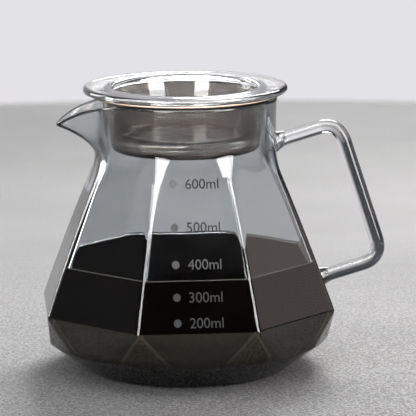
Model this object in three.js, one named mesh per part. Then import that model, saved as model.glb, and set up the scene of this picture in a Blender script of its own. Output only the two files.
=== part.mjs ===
// Glass coffee carafe: an eight-sided tapered vessel with a drooping beak, a bent rod handle
// welded to its wall, and a lift-off glass lid whose hollow plug wears a soft sleeve.
//
// Millimetres, +Z up. The origin is the centre of the flat foot, on the vessel's axis. The handle
// points to +X, the beak to -X, and the facet that carries the volume scale faces -Y.

import * as THREE from 'three';
import { mergeVertices } from 'three/addons/utils/BufferGeometryUtils.js';

// Vessel: heights are above the foot, radii are from the axis to the outer face.
const FACETS = 8;
const FOOT_RADIUS = 41.5;
const FOOT_EDGE = 1.2;
const SKIRT_HEIGHT = 12.6; // circle where the lower facets end and the round foot begins
const SKIRT_RADIUS = 58.6;
const SKIRT_FACET_ANGLE = 24.2; // degrees that each lower facet spans on that circle
const GIRTH_HEIGHT = 26.3; // widest octagon
const GIRTH_RADIUS = 63.5; // to its corners
const CREASE_BOW = 0.5; // how far the corner lines swell past straight
const SHOULDER_HEIGHT = 91; // where the corner lines run out into the neck
const SHOULDER_BLEND = 3; // softness of that run-out
const NECK_RADIUS = 37.2;
const WAIST_HEIGHT = 100; // the neck flares from here to the rim
const RIM_RADIUS = 37.7;
const RIM_HEIGHT = 112.6;
const WALL = 2.8;
const RIM_WALL = 2.2;
const FLOOR = 5;

// Beak, angles in degrees to either side of -X
const BEAK_ROOT_HEIGHT = 88; // where the keel leaves the neck
const BEAK_REACH = 14.7; // how far the lip's tip stands out of the rim circle
const BEAK_HALF_ANGLE = 18.5;
const BEAK_TIP_ANGLE = 2.6; // rounding of the tip
const BEAK_BLEND = 4; // softness of the corner between beak and rim
const LIP_DROP = 10.6; // how far the tip hangs below the rim
const LIP_FALL_ANGLE = 14; // how quickly the lip falls towards the tip
const LIP_LEVEL_ANGLE = 50; // the lip is level beyond this angle

// Handle
const ROD_RADIUS = 2.9;
const ARM_RISE = 16; // degrees that both arms climb, going outwards
const UPPER_WELD_DROP = 19.6; // from the rim down to the upper weld
const UPPER_ARM_REACH = 25.8; // from the neck to the upper corner
const LOWER_CORNER_RISE = 16.6; // from the girth up to the lower corner
const LOWER_CORNER_REACH = 18.1; // from the girth's corner radius to the lower corner
const BEND_LENGTH = 9; // straight length that each bend takes up on either side
const WELD_RADIUS = 4.6;
const WELD_LENGTH = 6; // the rod swells over this length

// Lid
const FLANGE_OVERHANG = 4.2; // beyond the rim
const FLANGE_THICKNESS = 2.8;
const PLUG_DEPTH = 22; // from the rim down to the bottom of the sleeve
const PLUG_CLEARANCE = 1; // between sleeve and neck, at the top
const PLUG_DRAFT = 2.6; // the plug is this much slimmer at the bottom
const PLUG_WALL = 1.8;
const PLUG_FLOOR = 4;
const PLUG_CORNER = 3;
const RECESS_CORNER = 4;
const RECESS_LIP = 2; // rounding between the recess and the flange
const SLEEVE_WALL = 1.5;
const SLEEVE_CORNER = 3.5; // rounding where the sleeve turns in under the plug
const SLEEVE_HEM = 8; // how far it reaches in under the plug
const SLEEVE_LIP = 1.1; // thickness of the lip that lies on the rim
const SLEEVE_LIP_OVERHANG = 0.3; // beyond the rim

const SEAT_GAP = 0.3; // between pieces that touch

// Fineness of the meshes
const BEAK_FACET_STEPS = 12;
const BEAK_CROWDING = 1.4; // the columns crowd towards the tip
const BEAK_NEIGHBOUR_STEPS = 7;
const PLAIN_FACET_STEPS = 5;
const SKIRT_CORNER_STEPS = 3;
const FACET_LEVELS = 7;
const BEAK_LEVELS = 6;
const RIM_STEPS = 4;
const ROD_SIDES = 12;
const LINE_STEPS = 6;
const BEND_STEPS = 8;
const LATHE_SIDES = 40;
const ARC_STEPS = 4;
const SAME_POINT = 1e-4;
const SLOPE_STEP = 1e-3;

const FACET_ANGLE = (2 * Math.PI) / FACETS;
const BEAK_ANGLE = Math.PI;
const LIP_HEIGHT = RIM_HEIGHT - RIM_WALL / 2;
const { clamp, degToRad, lerp, radToDeg } = THREE.MathUtils;

// Larger of two lengths, with the corner between them rounded over the blend.
function smoothMax(a, b, blend) {
  const overlap = Math.max(blend - Math.abs(a - b), 0) / blend;
  return Math.max(a, b) + (overlap * overlap * blend) / 4;
}

function polar(radius, angle, height) {
  return new THREE.Vector3(radius * Math.cos(angle), radius * Math.sin(angle), height);
}

// Outer surface of the vessel

function creaseRadius(height) {
  const rise = (height - GIRTH_HEIGHT) / (SHOULDER_HEIGHT - GIRTH_HEIGHT);
  return lerp(GIRTH_RADIUS, NECK_RADIUS, rise) + 4 * CREASE_BOW * rise * (1 - rise);
}

function neckRadius(height) {
  const flare = clamp((height - WAIST_HEIGHT) / (RIM_HEIGHT - WAIST_HEIGHT), 0, 1);
  return lerp(NECK_RADIUS, RIM_RADIUS, flare * flare);
}

function facetRadius(angle, cornerRadius) {
  const offset = angle - FACET_ANGLE * Math.round(angle / FACET_ANGLE);
  return (cornerRadius * Math.cos(FACET_ANGLE / 2)) / Math.cos(offset);
}

function vesselRadius(angle, height) {
  return smoothMax(neckRadius(height), facetRadius(angle, creaseRadius(height)), SHOULDER_BLEND);
}

// Degrees from the middle of the beak, with the tip's point rounded off.
function beakOffset(angle) {
  const degrees = radToDeg(Math.atan2(Math.sin(angle - BEAK_ANGLE), Math.cos(angle - BEAK_ANGLE)));
  return Math.hypot(degrees, BEAK_TIP_ANGLE) - BEAK_TIP_ANGLE;
}

function beakReach(angle) {
  return smoothMax(0, BEAK_REACH * (1 - beakOffset(angle) / BEAK_HALF_ANGLE), BEAK_BLEND);
}

function lipDrop(angle) {
  const offset = beakOffset(angle);
  const fade = Math.cos((Math.PI / 2) * Math.min(offset / LIP_LEVEL_ANGLE, 1));
  return LIP_DROP * Math.exp(-offset / LIP_FALL_ANGLE) * Math.sqrt(Math.max(fade, 0));
}

// Level 0 is the girth, 1 the root of the beak and 2 the lip.
function wallPoint(angle, level) {
  const rise = Math.max(level - 1, 0);
  const height =
    level < 1
      ? lerp(GIRTH_HEIGHT, BEAK_ROOT_HEIGHT, level)
      : lerp(BEAK_ROOT_HEIGHT, LIP_HEIGHT, rise);
  const radius = vesselRadius(angle, height) + beakReach(angle) * rise * rise;
  return polar(radius, angle, height - lipDrop(angle) * rise);
}

function wallNormal(angle, level) {
  const across = wallPoint(angle + SLOPE_STEP, level).sub(wallPoint(angle - SLOPE_STEP, level));
  const up = wallPoint(angle, level + SLOPE_STEP).sub(wallPoint(angle, level - SLOPE_STEP));
  return across.cross(up).normalize();
}

function innerPoint(angle, level) {
  const thickness = lerp(WALL, RIM_WALL, Math.max(level - 1, 0));
  return wallPoint(angle, level).addScaledVector(wallNormal(angle, level), -thickness);
}

// Half-round edge between the outer and the inner lip, turn running from 0 to pi.
function rimPoint(angle, turn) {
  const outer = wallPoint(angle, 2);
  const inner = innerPoint(angle, 2);
  const up = outer.clone().sub(wallPoint(angle, 2 - SLOPE_STEP)).normalize();
  const middle = outer.clone().add(inner).multiplyScalar(0.5);
  const half = outer.clone().sub(middle);
  return middle.addScaledVector(half, Math.cos(turn)).addScaledVector(up, half.length() * Math.sin(turn));
}

// Closed surface through a row of rings with equal counts, single points closing its ends.
function skin(rings) {
  const positions = [];
  const addTriangle = (a, b, c) => {
    const sides = [a.distanceTo(b), b.distanceTo(c), c.distanceTo(a)];
    if (Math.min(...sides) > SAME_POINT) positions.push(...a, ...b, ...c);
  };
  for (let row = 0; row + 1 < rings.length; row += 1) {
    const near = rings[row];
    const far = rings[row + 1];
    const count = Math.max(near.length, far.length);
    for (let i = 0; i < count; i += 1) {
      const j = (i + 1) % count;
      addTriangle(near[i % near.length], near[j % near.length], far[j % far.length]);
      addTriangle(near[i % near.length], far[j % far.length], far[i % far.length]);
    }
  }
  const geometry = new THREE.BufferGeometry();
  geometry.setAttribute('position', new THREE.Float32BufferAttribute(positions, 3));
  return mergeVertices(geometry, SAME_POINT);
}

// Columns of points round the vessel. Each has an angle on the walls and one on the skirt circle:
// lower facets narrow towards the skirt, and the triangles between them start at the girth's corners.
function vesselColumns() {
  const columns = [];
  const beakFacet = Math.round(BEAK_ANGLE / FACET_ANGLE);
  const skirtShare = degToRad(SKIRT_FACET_ANGLE) / FACET_ANGLE;
  for (let facet = 0; facet < FACETS; facet += 1) {
    const fromBeak = Math.abs(facet - beakFacet);
    const steps = [BEAK_FACET_STEPS, BEAK_NEIGHBOUR_STEPS][fromBeak] ?? PLAIN_FACET_STEPS;
    const crowding = fromBeak === 0 ? BEAK_CROWDING : 1;
    const centre = facet * FACET_ANGLE;
    for (let i = 0; i <= steps; i += 1) {
      const share = (2 * i) / steps - 1;
      const offset = (FACET_ANGLE / 2) * Math.sign(share) * Math.abs(share) ** crowding;
      columns.push({ wall: centre + offset, skirt: centre + offset * skirtShare });
    }
    const corner = centre + FACET_ANGLE / 2;
    for (let i = 1; i < SKIRT_CORNER_STEPS; i += 1) {
      const share = (2 * i) / SKIRT_CORNER_STEPS - 1;
      columns.push({ wall: corner, skirt: corner + (share * FACET_ANGLE * (1 - skirtShare)) / 2 });
    }
  }
  return columns;
}

function vesselGeometry() {
  const columns = vesselColumns();
  const skirtRing = (radius, height) => columns.map(({ skirt }) => polar(radius, skirt, height));
  const wallRing = (place, level) => columns.map(({ wall }) => place(wall, level));
  const levels = [];
  for (let i = 0; i < FACET_LEVELS; i += 1) levels.push(i / FACET_LEVELS);
  for (let i = 0; i <= BEAK_LEVELS; i += 1) levels.push(1 + i / BEAK_LEVELS);

  const footSlope = new THREE.Vector2(SKIRT_RADIUS - FOOT_RADIUS, SKIRT_HEIGHT).setLength(FOOT_EDGE);
  const rings = [
    [new THREE.Vector3(0, 0, 0)],
    skirtRing(FOOT_RADIUS - FOOT_EDGE, 0),
    skirtRing(FOOT_RADIUS + footSlope.x, footSlope.y),
    skirtRing((FOOT_RADIUS + SKIRT_RADIUS) / 2, SKIRT_HEIGHT / 2),
    skirtRing(SKIRT_RADIUS, SKIRT_HEIGHT),
  ];
  for (const level of levels) rings.push(wallRing(wallPoint, level));
  for (let i = 1; i < RIM_STEPS; i += 1) rings.push(wallRing(rimPoint, (Math.PI * i) / RIM_STEPS));
  for (const level of levels.toReversed()) rings.push(wallRing(innerPoint, level));
  rings.push(skirtRing(SKIRT_RADIUS - WALL, SKIRT_HEIGHT + WALL / 2));
  rings.push(skirtRing(FOOT_RADIUS - WALL, FLOOR));
  rings.push([new THREE.Vector3(0, 0, FLOOR)]);
  return skin(rings);
}

// Point where a line from outside, along the heading, comes within the seat gap of the vessel.
function pointOnWall(start, heading) {
  const clearance = (travel) => {
    const point = start.clone().addScaledVector(heading, travel);
    const angle = Math.atan2(point.y, point.x);
    return Math.hypot(point.x, point.y) - vesselRadius(angle, point.z) - SEAT_GAP;
  };
  let outside = 0;
  let inside = Math.hypot(start.x, start.y) / Math.hypot(heading.x, heading.y);
  while (inside - outside > SAME_POINT) {
    const middle = (outside + inside) / 2;
    if (clearance(middle) > 0) outside = middle;
    else inside = middle;
  }
  return start.clone().addScaledVector(heading, outside);
}

// The handle is one rod in the XZ plane, from the neck out, down and back to the facet below.
function handleGeometry() {
  const side = new THREE.Vector3(0, 1, 0);
  const inward = new THREE.Vector3(-1, 0, 0).applyAxisAngle(side, degToRad(-ARM_RISE));
  const climb = Math.tan(degToRad(ARM_RISE));
  const upperWeldHeight = RIM_HEIGHT - UPPER_WELD_DROP;
  const upperCorner = polar(NECK_RADIUS + UPPER_ARM_REACH, 0, upperWeldHeight + UPPER_ARM_REACH * climb);
  const lowerCorner = polar(GIRTH_RADIUS + LOWER_CORNER_REACH, 0, GIRTH_HEIGHT + LOWER_CORNER_RISE);
  const upperWeld = pointOnWall(upperCorner, inward);
  const lowerWeld = pointOnWall(lowerCorner, inward);

  const towards = (from, to) => from.clone().addScaledVector(to.clone().sub(from).normalize(), BEND_LENGTH);
  const upperIn = towards(upperCorner, upperWeld);
  const upperOut = towards(upperCorner, lowerCorner);
  const lowerIn = towards(lowerCorner, upperCorner);
  const lowerOut = towards(lowerCorner, lowerWeld);
  const stretches = [
    new THREE.LineCurve3(upperWeld, upperIn),
    new THREE.QuadraticBezierCurve3(upperIn, upperCorner, upperOut),
    new THREE.LineCurve3(upperOut, lowerIn),
    new THREE.QuadraticBezierCurve3(lowerIn, lowerCorner, lowerOut),
    new THREE.LineCurve3(lowerOut, lowerWeld),
  ];

  const rodRing = (centre, tangent) => {
    const fromWeld = Math.min(centre.distanceTo(upperWeld), centre.distanceTo(lowerWeld));
    const swell = Math.max(1 - fromWeld / WELD_LENGTH, 0) ** 2;
    const radius = lerp(ROD_RADIUS, WELD_RADIUS, swell);
    const normal = side.clone().cross(tangent);
    return Array.from({ length: ROD_SIDES }, (_, i) => {
      const turn = (2 * Math.PI * i) / ROD_SIDES;
      const point = centre.clone().addScaledVector(normal, radius * Math.cos(turn));
      return point.addScaledVector(side, radius * Math.sin(turn));
    });
  };
  const rings = [];
  for (const stretch of stretches) {
    const steps = stretch.isLineCurve3 ? LINE_STEPS : BEND_STEPS;
    for (let i = rings.length === 0 ? 0 : 1; i <= steps; i += 1) {
      rings.push(rodRing(stretch.getPoint(i / steps), stretch.getTangent(i / steps)));
    }
  }
  const seat = (ring) =>
    ring.map((point) => {
      const away = point.clone().addScaledVector(inward, -WELD_LENGTH);
      return pointOnWall(away, inward);
    });
  rings[0] = seat(rings[0]);
  rings[rings.length - 1] = seat(rings[rings.length - 1]);
  return skin([[upperWeld], ...rings, [lowerWeld]]);
}

// Sizes that the lid's two pieces share
const BORE_RADIUS = Math.min(NECK_RADIUS - WALL, RIM_RADIUS - RIM_WALL);
const SLEEVE_RADIUS = BORE_RADIUS - PLUG_CLEARANCE;
const PLUG_RADIUS = SLEEVE_RADIUS - SLEEVE_WALL - SEAT_GAP;
const SLEEVE_BOTTOM = RIM_HEIGHT - PLUG_DEPTH;
const SLEEVE_LIP_BOTTOM = RIM_HEIGHT + SEAT_GAP;
const SLEEVE_TOP = SLEEVE_LIP_BOTTOM + SLEEVE_LIP;
const FLANGE_BOTTOM = SLEEVE_TOP + SEAT_GAP;
const FLANGE_TOP = FLANGE_BOTTOM + FLANGE_THICKNESS;

// Profiles run counter-clockwise in the plane of radius and height.
function revolve(profile) {
  const geometry = new THREE.LatheGeometry(profile.getPoints(ARC_STEPS), LATHE_SIDES);
  geometry.rotateX(Math.PI / 2);
  geometry.deleteAttribute('normal');
  geometry.deleteAttribute('uv');
  return mergeVertices(geometry, SAME_POINT);
}

function lidGlassGeometry() {
  const bottom = SLEEVE_BOTTOM + SLEEVE_WALL + SEAT_GAP;
  const floor = bottom + PLUG_FLOOR;
  const footRadius = PLUG_RADIUS - PLUG_DRAFT;
  const recessRadius = PLUG_RADIUS - PLUG_WALL;
  const recessFoot = recessRadius - PLUG_DRAFT;
  const edge = FLANGE_THICKNESS / 2;
  const rim = RIM_RADIUS + FLANGE_OVERHANG - edge;
  const lipRadius = recessRadius + RECESS_LIP;
  const profile = new THREE.Path();
  profile.moveTo(0, bottom);
  profile.lineTo(footRadius - PLUG_CORNER, bottom);
  profile.quadraticCurveTo(footRadius, bottom, footRadius, bottom + PLUG_CORNER);
  profile.lineTo(PLUG_RADIUS, FLANGE_BOTTOM);
  profile.lineTo(rim, FLANGE_BOTTOM);
  profile.absarc(rim, FLANGE_BOTTOM + edge, edge, -Math.PI / 2, Math.PI / 2);
  profile.lineTo(lipRadius, FLANGE_TOP);
  profile.quadraticCurveTo(recessRadius, FLANGE_TOP, recessRadius, FLANGE_TOP - RECESS_LIP);
  profile.lineTo(recessFoot, floor + RECESS_CORNER);
  profile.quadraticCurveTo(recessFoot, floor, recessFoot - RECESS_CORNER, floor);
  profile.lineTo(0, floor);
  return revolve(profile);
}

function lidSleeveGeometry() {
  const lipRound = SLEEVE_LIP / 2;
  const foot = SLEEVE_RADIUS - PLUG_DRAFT;
  const hem = foot - SLEEVE_HEM;
  const cornerStart = foot - SLEEVE_CORNER;
  const cornerTop = SLEEVE_BOTTOM + SLEEVE_CORNER;
  const inside = SLEEVE_BOTTOM + SLEEVE_WALL;
  const lipRim = RIM_RADIUS + SLEEVE_LIP_OVERHANG - lipRound;
  const bore = SLEEVE_RADIUS - SLEEVE_WALL;
  const profile = new THREE.Path();
  profile.moveTo(hem, SLEEVE_BOTTOM);
  profile.lineTo(cornerStart, SLEEVE_BOTTOM);
  profile.quadraticCurveTo(foot, SLEEVE_BOTTOM, foot, cornerTop);
  profile.lineTo(SLEEVE_RADIUS, SLEEVE_LIP_BOTTOM);
  profile.lineTo(lipRim, SLEEVE_LIP_BOTTOM);
  profile.absarc(lipRim, SLEEVE_LIP_BOTTOM + lipRound, lipRound, -Math.PI / 2, Math.PI / 2);
  profile.lineTo(bore, SLEEVE_TOP);
  profile.lineTo(foot - SLEEVE_WALL, cornerTop);
  profile.quadraticCurveTo(foot - SLEEVE_WALL, inside, cornerStart, inside);
  profile.lineTo(hem, inside);
  profile.lineTo(hem, SLEEVE_BOTTOM);
  return revolve(profile);
}

function piece(name, geometry, material) {
  const mesh = new THREE.Mesh(geometry, new THREE.MeshStandardMaterial(material));
  mesh.name = name;
  geometry.computeVertexNormals();
  return mesh;
}

const GREY_GLASS = { color: 0xc3c8cb, roughness: 0.03, metalness: 0, transparent: true, opacity: 0.4 };
const CLEAR_GLASS = { color: 0xe8eeee, roughness: 0.02, metalness: 0, transparent: true, opacity: 0.35 };
const SMOKED_SILICONE = { color: 0x6b6058, roughness: 0.45, metalness: 0 };

const lid = new THREE.Group();
lid.add(piece('lid_glass', lidGlassGeometry(), CLEAR_GLASS));
lid.add(piece('lid_sleeve', lidSleeveGeometry(), SMOKED_SILICONE));

const carafe = new THREE.Group();
carafe.add(piece('carafe_body', vesselGeometry(), GREY_GLASS));
carafe.add(piece('handle', handleGeometry(), CLEAR_GLASS));
carafe.add(lid);

export default carafe;
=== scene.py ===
import math

import bpy
import numpy as np
from bpy.props import FloatProperty, FloatVectorProperty, PointerProperty
from bpy.types import Operator, Panel, PropertyGroup
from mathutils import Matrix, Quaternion, Vector


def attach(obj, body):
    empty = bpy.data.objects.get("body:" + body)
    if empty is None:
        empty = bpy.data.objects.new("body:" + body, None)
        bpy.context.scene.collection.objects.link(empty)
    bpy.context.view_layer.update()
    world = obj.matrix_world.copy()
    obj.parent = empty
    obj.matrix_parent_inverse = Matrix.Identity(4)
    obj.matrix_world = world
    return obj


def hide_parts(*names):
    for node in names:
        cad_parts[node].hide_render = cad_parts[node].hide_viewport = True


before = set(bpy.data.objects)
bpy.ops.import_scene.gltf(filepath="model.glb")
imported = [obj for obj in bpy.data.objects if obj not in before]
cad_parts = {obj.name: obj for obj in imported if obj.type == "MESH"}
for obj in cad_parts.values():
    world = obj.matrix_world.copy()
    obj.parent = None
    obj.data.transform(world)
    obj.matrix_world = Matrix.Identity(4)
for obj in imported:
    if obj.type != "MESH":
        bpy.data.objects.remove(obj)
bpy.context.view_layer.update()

bl_info = {
    "name": "Glass Carafe",
    "version": (1, 0, 0),
    "blender": (4, 5, 0),
    "location": "View3D > Sidebar > Carafe",
    "description": "Builds a faceted glass coffee carafe with handle, lid, volume scale and studio",
    "category": "Add Mesh",
}

MM = 0.001
FACETS = 8
FACET_ANGLE = 2 * math.pi / FACETS
BEAK_FACET = FACETS // 2
BEAK_ANGLE = math.pi
SLOPE_STEP = 1e-3
SAME_POINT = 1e-8

# Fineness of the meshes; rows run from the bottom up, with one count for each band between two edges
FACET_COLUMNS = 28
BEAK_COLUMNS = 64
OUTER_ROWS = (6, 12, 18, 12, 22, 12)
INNER_ROWS = (5, 5, 12, 5, 18, 12)
BEAK_ROWS = 20
RIM_ROWS = 7
FOOT_STEPS = 5
CORNER_STEPS = 6
LATHE_SIDES = 128
ROD_SIDES = 32
ARM_STEPS = 24
ARM_CROWDING = 1.8
BEND_STEPS = 18
SHAFT_STEPS = 14
ARC_STEPS = 10
EDGE_STEPS = 16
FILLET_STEPS = 4
PLUG_ROWS = 8
SLEEVE_ROWS = 12
LETTER_STEPS = 4
DOT_SIDES = 40
FLOOR_SIDES = 96
FILM_RINGS = 6

# How far from an edge of the vessel its closely set rows begin and end
SKIRT_BAND = (-2.2 * MM, 1.2 * MM)
GIRTH_BAND = (-1.6 * MM, 1.6 * MM)
SHOULDER_BAND = -14 * MM

# Lower corner of the vessel's inside: its rise, its slope and the run over which it levels out
CORNER_RISE = 2.0 * MM
CORNER_SLOPE = 1.9
CORNER_RUN = 5.0 * MM

# Level just above the beak's root, and the stretch below the shoulder, in wall thicknesses, over which the
# inside passes from facets of its own to an offset of the outside
ROOT_LEVEL = 1.01
OFFSET_BAND = (7, 2)

# Fillet under the lid's flange, and how far the sleeve's lip lies off the tube
FILLET = 0.8 * MM
SEAM = 0.05 * MM

# Coffee: how far below its upper edge the rows on the glass stop, distances from the glass at which the
# curved edge has points, and shares of the flat rest
WALL_STOP = 0.7 * MM
MENISCUS_PLACES = [place * MM for place in (0.0, 0.15, 0.35, 0.6, 0.9, 1.3, 1.8, 2.5, 3.5, 5.0, 8.0)]
SURFACE_SHARES = (0.75, 0.5, 0.25)

# Volume scale: height of each mark in millimetres, how far the print stands off the glass as a share of
# half its thickness, and the passes that find the depth of the facet
MARKS = {200: 30.3, 300: 40.0, 400: 52.35, 500: 66.3, 600: 82.8}
PRINT_LIFT = 0.6
DEPTH_PASSES = 4

# Where the enamel's painted light and shade change: between dots and labels, and at three heights between
# marks
LABEL_EDGE = (-5.5 * MM, -4.5 * MM)
DEEP_MARKS = (42 * MM, 50 * MM)
UPPER_MARKS = (56 * MM, 64 * MM)
TOP_MARK = (70 * MM, 80 * MM)

# Glancing angles, from 0 face on to 1 edge on, over which each glass takes on the painted shade of its
# edge, and the heights over which the painted shade of the handle's lower arm gives way to the upper one's
BODY_EDGES = (0.4, 0.75)
ROD_EDGES = (0.45, 0.9)
LID_EDGES = (0.5, 1.0)
LOWER_ARM = (46 * MM, 60 * MM)

# Floor: radii of its rings, depth below the foot, and the width over which its edge fades
FLOOR_RADII = (0.03, 0.08, 0.15, 0.25, 0.4, 0.6)
FLOOR_DROP = 0.3 * MM
FLOOR_FADE = 35 * MM

# Soft lamps: turn from the front to the right and elevation in degrees, distance, width and height in
# metres, brightness, whether only reflections show the lamp, and its colour
WHITE = (1.0, 1.0, 1.0)
WARM = (1.0, 0.84, 0.79)
LAMP_AIM = 60 * MM
LAMPS = {
    "left_softbox": (-31.7, 21.0, 0.9, 0.36, 0.76, 14.0, True, WHITE),
    "right_softbox": (44.0, 12.0, 0.9, 0.44, 0.46, 14.0, True, WHITE),
    "right_slip": (52.0, 36.0, 0.9, 0.16, 0.3, 14.0, True, WHITE),
    "top_strip": (0.0, 62.0, 0.8, 1.6, 0.5, 9.0, True, WHITE),
    "left_strip": (-126.0, 22.0, 0.9, 0.3, 0.6, 9.0, True, WHITE),
    "right_panel": (97.0, 18.0, 1.0, 0.7, 0.5, 0.9, False, WARM),
    "back_softbox": (161.0, 37.0, 1.05, 0.5, 0.4, 15.0, False, WHITE),
}


# Settings

def length(description, millimetres):
    return FloatProperty(description=description, default=millimetres * MM, unit="LENGTH", precision=4)


def angle(description, degrees):
    return FloatProperty(description=description, default=math.radians(degrees), subtype="ANGLE")


def number(description, value):
    return FloatProperty(description=description, default=value, precision=3)


def colour(description, value):
    return FloatVectorProperty(description=description, default=value, min=0.0, max=1.0, subtype="COLOR")


class CARAFE_PG_vessel(PropertyGroup):
    """Sizes of the glass vessel; heights are above the foot and radii are to the outer face."""

    foot_radius: length("Radius of the flat foot", 41.5)
    foot_edge: length("Rounding of the foot's edge", 1.2)
    skirt_height: length("Height where the lower facets meet the round foot", 12.6)
    skirt_radius: length("Radius where the lower facets end", 58.6)
    skirt_facet: angle("Angle that each lower facet spans at the skirt", 24.2)
    girth_height: length("Height of the widest octagon", 26.3)
    girth_radius: length("Radius to the corners of the widest octagon", 63.5)
    crease_bow: length("How far the corner lines swell past straight", 0.5)
    crease_low: length("Softness of the corner lines at the girth", 1.0)
    crease_high: length("Softness of the corner lines at the shoulder", 5.0)
    crease_inner: length("Softness of the corner lines inside the vessel", 0.8)
    edge_soft: length("Softness of the edges round the lower facets", 0.45)
    inner_soft: length("Softness of the edges inside the vessel", 3.0)
    shoulder_height: length("Height at which the corner lines run out into the neck", 91.0)
    shoulder_blend: length("Softness of that run-out", 3.0)
    neck_radius: length("Radius of the round neck", 37.2)
    waist_height: length("Height from which the neck flares", 100.0)
    rim_radius: length("Radius of the rim", 37.7)
    rim_height: length("Height of the rim", 112.6)
    wall: length("Thickness of the glass", 2.8)
    rim_wall: length("Thickness of the glass at the rim", 2.2)
    floor: length("Thickness of the bottom", 5.0)
    beak_root: length("Height at which the beak's keel leaves the neck", 88.0)
    beak_reach: length("How far the tip stands out of the rim circle", 14.7)
    beak_half: angle("Angle to either side that the beak takes up", 18.5)
    beak_tip: angle("Rounding of the tip", 2.6)
    beak_blend: length("Softness of the corner between beak and rim", 4.0)
    lip_drop: length("How far the tip hangs below the rim", 10.6)
    lip_fall: angle("How quickly the lip falls towards the tip", 14.0)
    lip_level: angle("Angle beyond which the lip is level", 50.0)


class CARAFE_PG_handle(PropertyGroup):
    """Sizes of the bent rod handle."""

    rod_radius: length("Radius of the rod", 2.9)
    arm_rise: angle("Angle at which both arms climb, going outwards", 16.0)
    upper_drop: length("From the rim down to the upper weld", 19.6)
    upper_reach: length("From the neck to the upper corner", 25.8)
    lower_rise: length("From the girth up to the lower corner", 16.6)
    lower_reach: length("From the girth's corners out to the lower corner", 18.1)
    bend: length("Straight length that each bend takes up on either side", 9.0)
    weld_radius: length("Radius of the rod at the welds", 4.6)
    weld_length: length("The rod swells over this length", 6.0)
    weld_sink: length("How far the welds run into the wall", 0.5)


class CARAFE_PG_lid(PropertyGroup):
    """Sizes of the glass lid and its sleeve."""

    overhang: length("How far the flange stands out past the rim", 4.2)
    flange: length("Thickness of the flange", 2.8)
    plug_depth: length("From the rim down to the bottom of the sleeve", 22.0)
    clearance: length("Room between sleeve and neck, at the top", 1.0)
    draft: length("How much slimmer the plug is at the bottom", 2.6)
    plug_wall: length("Thickness of the plug's wall", 1.8)
    plug_floor: length("Thickness of the plug's floor", 4.0)
    plug_corner: length("Rounding of the plug's lower corner", 3.0)
    recess_corner: length("Rounding at the bottom of the recess", 4.0)
    recess_lip: length("Rounding between recess and flange", 2.0)
    sleeve_wall: length("Thickness of the sleeve", 1.5)
    sleeve_corner: length("Rounding where the sleeve turns in under the plug", 3.5)
    sleeve_hem: length("How far it reaches in under the plug", 8.0)
    sleeve_lip: length("Thickness of the lip that lies on the rim", 1.1)
    lip_overhang: length("How far the lip stands out past the rim", 0.3)
    gap: length("Room between pieces that touch", 0.3)


class CARAFE_PG_contents(PropertyGroup):
    """Coffee level and printed volume scale."""

    coffee_level: length("Height of the coffee's surface above the foot", 45.0)
    meniscus: length("How far the coffee climbs the glass", 0.8)
    meniscus_width: length("Distance over which it levels out", 0.9)
    film: length("Height of the thin film at the top of the climb", 0.4)
    soak: length("How far the coffee's skin lies inside the glass", 0.15)
    dot_place: length("Distance of the dots from the middle of the facet", 8.1)
    dot_radius: length("Radius of the dots", 1.51)
    label_start: length("Distance of the labels from the dots", 4.9)
    label_width: length("Width of a label", 13.3)
    print_thickness: length("Thickness of the enamel", 0.06)


class CARAFE_PG_finish(PropertyGroup):
    """Colours of the materials, and how strongly their insides are tinted."""

    body_tint: colour("What the smoke-grey body glass lets through", (0.24, 0.33, 0.39))
    body_density: number("Strength of the body glass's tint", 128.0)
    # Painted shade: the edge colours darken each glass where it is seen edge on, standing in for dark
    # surroundings bent into view
    body_edge_shade: colour("Colour of the body glass seen edge on", (0.02, 0.022, 0.026))
    clear_tint: colour("What the lid and handle let through", (0.62, 0.72, 0.72))
    clear_density: number("Strength of the clear glass's tint", 16.0)
    # Painted shade for the handle's and the lid's edges
    rod_edge_shade: colour("Colour of the handle's glass seen edge on", (0.006, 0.007, 0.008))
    lid_edge_shade: colour("Colour of the lid's glass seen edge on", (0.9, 0.9, 0.9))
    sleeve_tint: colour("What the smoky sleeve lets through", (0.30, 0.20, 0.14))
    sleeve_density: number("Strength of the sleeve's tint", 430.0)
    sleeve_face: colour("Colour of the sleeve's surface", (0.88, 0.84, 0.80))
    # Painted light: the lip's tan where light gathers, and the pale sheen on its top
    sleeve_lip: colour("Colour of the lip, where light gathers", (0.66, 0.49, 0.36))
    lip_top_painted_sheen: colour("Colour of the lip's pale top", (0.5, 0.5, 0.49))
    coffee_dark: colour("Colour of the coffee", (0.0014, 0.001, 0.0007))
    coffee_light: colour("Colour where the coffee is thin", (0.012, 0.008, 0.006))
    # Painted highlight: the film's pale colour stands in for the meniscus line lit along the glass
    coffee_film_highlight: colour("Colour of the thin film that climbs the glass", (0.27, 0.24, 0.21))
    # Painted light: the coffee's brown low down
    coffee_low: colour("Colour of the coffee low down, lit from below", (0.0155, 0.0118, 0.0072))
    enamel: colour("Colour of the printed scale", (0.40, 0.40, 0.40))
    # Painted shade: the upper labels are printed dark for the shade on them; this colour, brightened,
    # paints light on their dots
    enamel_upper_shade: colour("Colour of the thin upper labels", (0.085, 0.085, 0.085))


class CARAFE_PG_studio(PropertyGroup):
    """Floor, backdrop and camera."""

    floor: colour("Colour of the floor", (0.53, 0.525, 0.52))
    backdrop: colour("Colour of the backdrop", (0.77, 0.76, 0.795))
    floor_reach: length("Distance from the object to the floor's edge", 720.0)
    aim_height: length("Height of the point that the camera circles", 50.0)
    distance: length("From that point to the camera", 1262.4)
    turn: angle("Angle of the camera round the object", 4.307)
    elevation: angle("Angle of the camera above the horizon", 11.69)
    roll: angle("Tilt of the camera about its own axis", -0.45)
    lens: number("Focal length in millimetres", 264.54)
    aim_right: length("How far right of that point the camera looks", 9.0)
    aim_up: length("How far above that point the camera looks", 15.3)


# Shapes

def mix(a, b, share):
    return a + (b - a) * share


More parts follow.
